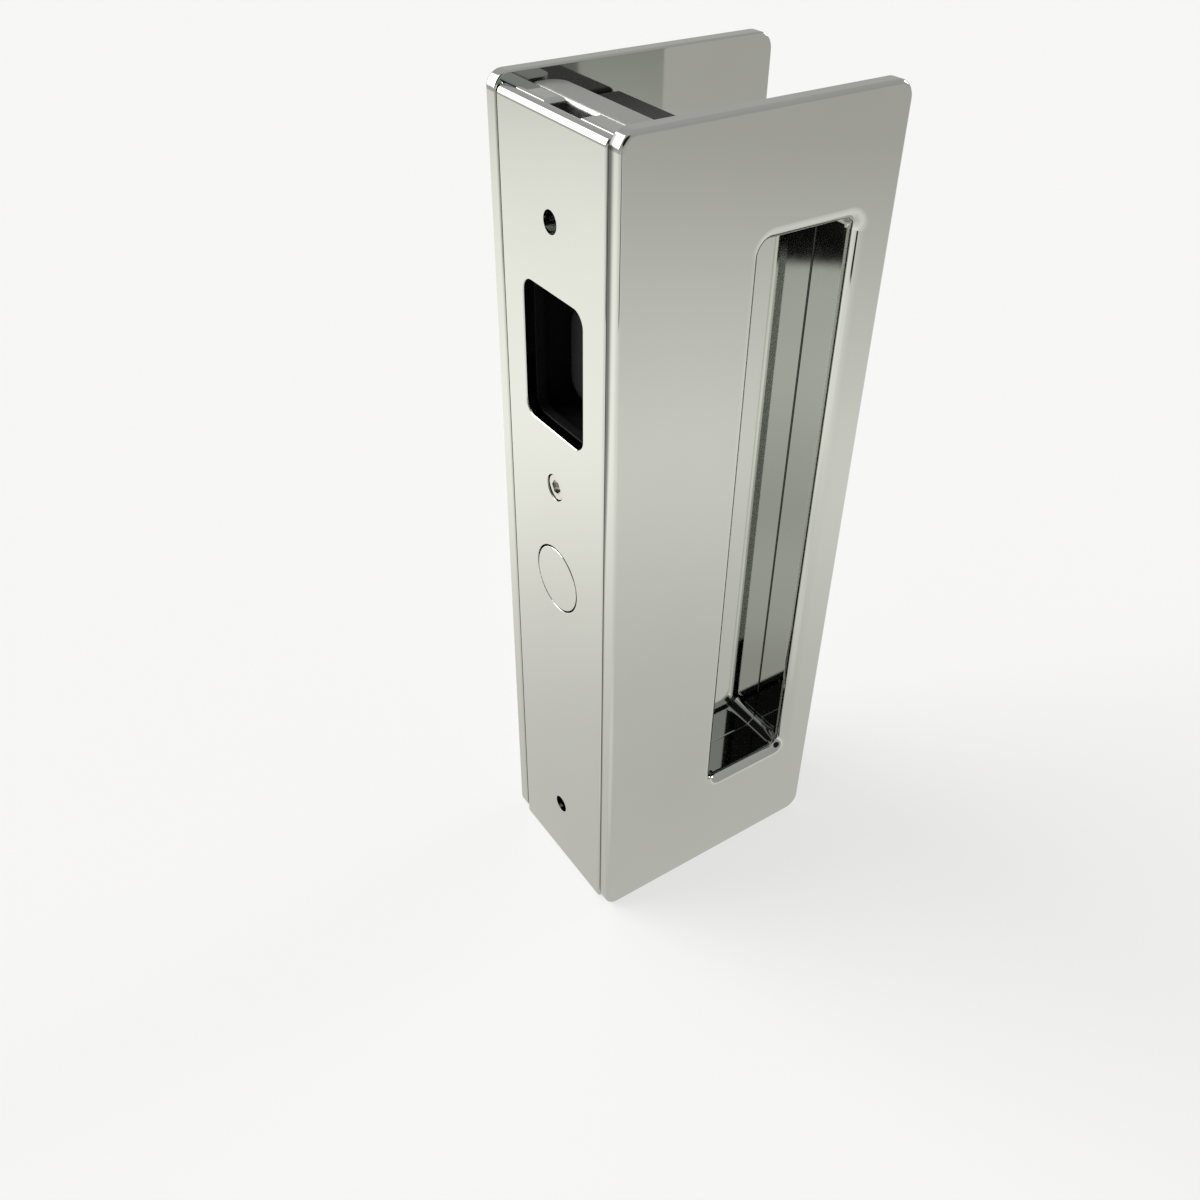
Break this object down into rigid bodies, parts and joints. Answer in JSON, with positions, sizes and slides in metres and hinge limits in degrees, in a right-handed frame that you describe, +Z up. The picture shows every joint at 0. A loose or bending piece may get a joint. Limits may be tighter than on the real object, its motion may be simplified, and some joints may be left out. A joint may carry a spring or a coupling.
{
  "type": "pocket door handle",
  "caption": "Wrap-around handle for a sliding pocket door, with a finger cup on each side, a magnet-drawn latch tongue and a pop-out pull in the leading edge.",
  "frame": {"origin": "middle of the handle's foot, at the lowest plane", "axes": "+Z up along the door's leading edge, -X towards the door jamb, the door's faces look towards -Y and +Y"},
  "size_m": [0.0632, 0.0426, 0.19],
  "materials": {
    "chrome": "polished chrome plate",
    "chrome_edge": "polished chrome plate",
    "chrome_pull": "polished chrome plate",
    "chrome_screw": "bright plated",
    "zinc_plated_steel": "zinc plated",
    "screw_steel": "zinc plated",
    "bright_steel": "ground",
    "spring_steel": "drawn wire",
    "satin_aluminium": "satin",
    "nickel": "nickel plated",
    "black_plastic": "moulded, matt",
    "black_tongue": "moulded, satin",
    "grey_plastic": "moulded, matt",
    "nylon": "natural nylon",
    "black_rubber": "matt"
  },
  "bodies": {
    "housing": {"front_side_plate": "chrome", "rear_side_plate": "chrome", "edge_plate": "chrome_edge", "spine_plate": "zinc_plated_steel", "spine_screws": "screw_steel", "mechanism_case": "black_plastic", "case_screws": "screw_steel", "plate_screw": "chrome_screw", "plate_nut": "screw_steel", "pull_barrel": "satin_aluminium", "barrel_screws": "screw_steel", "catch_unit": "grey_plastic", "pull_spring": "spring_steel", "latch_box": "black_plastic", "latch_cover": "black_plastic", "latch_screws": "screw_steel", "holding_magnet": "nickel"},
    "pull": {"edge_pull": "chrome_pull", "pull_bumper": "black_rubber", "pull_stem": "bright_steel", "stem_ring": "bright_steel", "spring_washer": "nylon"},
    "tongue": {"latch_tongue": "black_tongue", "latch_magnet": "nickel", "pole_piece": "bright_steel"}
  },
  "joints": [
    {"name": "pull_slide", "type": "slide", "parent": "housing", "child": "pull", "axis": [-1, 0, 0], "range_m": [-0.0015, 0.016], "deforming": ["pull_spring"]},
    {"name": "latch_slide", "type": "slide", "parent": "housing", "child": "tongue", "axis": [-1, 0, 0], "range_m": [0, 0.013], "stiffness_N_per_m": 10}
  ]
}
